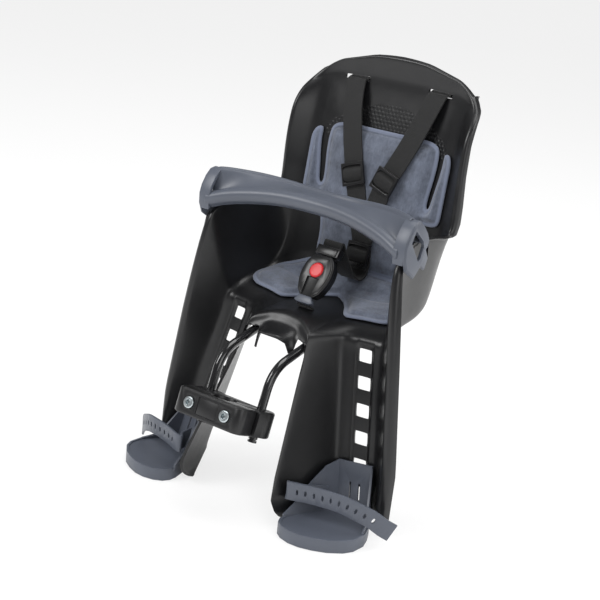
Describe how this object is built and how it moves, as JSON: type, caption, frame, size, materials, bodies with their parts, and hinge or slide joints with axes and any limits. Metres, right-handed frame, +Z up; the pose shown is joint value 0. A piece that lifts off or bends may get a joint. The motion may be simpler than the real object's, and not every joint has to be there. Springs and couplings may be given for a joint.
{
  "type": "child bike seat",
  "caption": "Front-mounted child bike seat: moulded shell with leg channels, padded lining, harness, safety bar, adjustable footrests and a stem clamp with a bent steel fork.",
  "frame": {"origin": "middle of the stem clamp's bore", "axes": "+Z up, -Y the way the seat and the bicycle face, +X the near side in the picture"},
  "size_m": [0.3736, 0.303, 0.4815],
  "materials": {
    "bar": "blue-grey moulded plastic",
    "bright": "bright plated steel",
    "button": "red moulded plastic",
    "clamp": "fine grained black plastic",
    "fitting": "black moulded plastic",
    "pad": "brushed mottled fabric",
    "rod": "gloss black coating on steel",
    "shell": "satin moulded plastic",
    "spring": "spring steel",
    "webbing": "woven webbing",
    "zinc": "bright zinc plate"
  },
  "bodies": {
    "clamp_block": {"clamp_rear": "clamp", "clamp_front": "clamp", "clamp_plate": "clamp", "clamp_bolts": "zinc", "clamp_nuts": "zinc"},
    "seat": {"seat_shell": "shell", "back_pad": "pad", "seat_pad": "pad", "safety_bar": "bar", "bar_catch_left": "bar", "bar_catch_right": "bar", "support_fork": "rod", "fork_saddle": "clamp", "fork_screws": "zinc", "shoulder_strap_left": "webbing", "shoulder_strap_right": "webbing", "slot_bar_left": "bright", "slot_bar_right": "bright", "adjuster_left": "fitting", "adjuster_right": "fitting", "adjuster_lower": "fitting", "tongue": "fitting", "buckle_cover": "fitting", "buckle_base": "fitting", "button_spring": "spring", "buckle_foot": "fitting", "crotch_strap": "webbing"},
    "footrest_slide_left": {"footrest_left": "bar", "foot_strap_left": "bar"},
    "footrest_slide_right": {"footrest_right": "bar", "foot_strap_right": "bar"},
    "release_button": {"buckle_button": "button"}
  },
  "joints": [
    {"name": "seat_lift", "type": "slide", "parent": "clamp_block", "child": "seat", "axis": [0, 0.309, 0.9511], "range_m": [0, 0.036]},
    {"name": "footrest_left_height", "type": "slide", "parent": "seat", "child": "footrest_slide_left", "axis": [0.1841, 0.1647, 0.969], "range_m": [0, 0.0898]},
    {"name": "footrest_right_height", "type": "slide", "parent": "seat", "child": "footrest_slide_right", "axis": [-0.1841, 0.1647, 0.969], "range_m": [0, 0.0898]},
    {"name": "button_press", "type": "slide", "parent": "seat", "child": "release_button", "axis": [0, 0.8387, -0.5446], "range_m": [0, 0.002], "stiffness_N_per_m": 400, "springref_m": -0.0005}
  ]
}
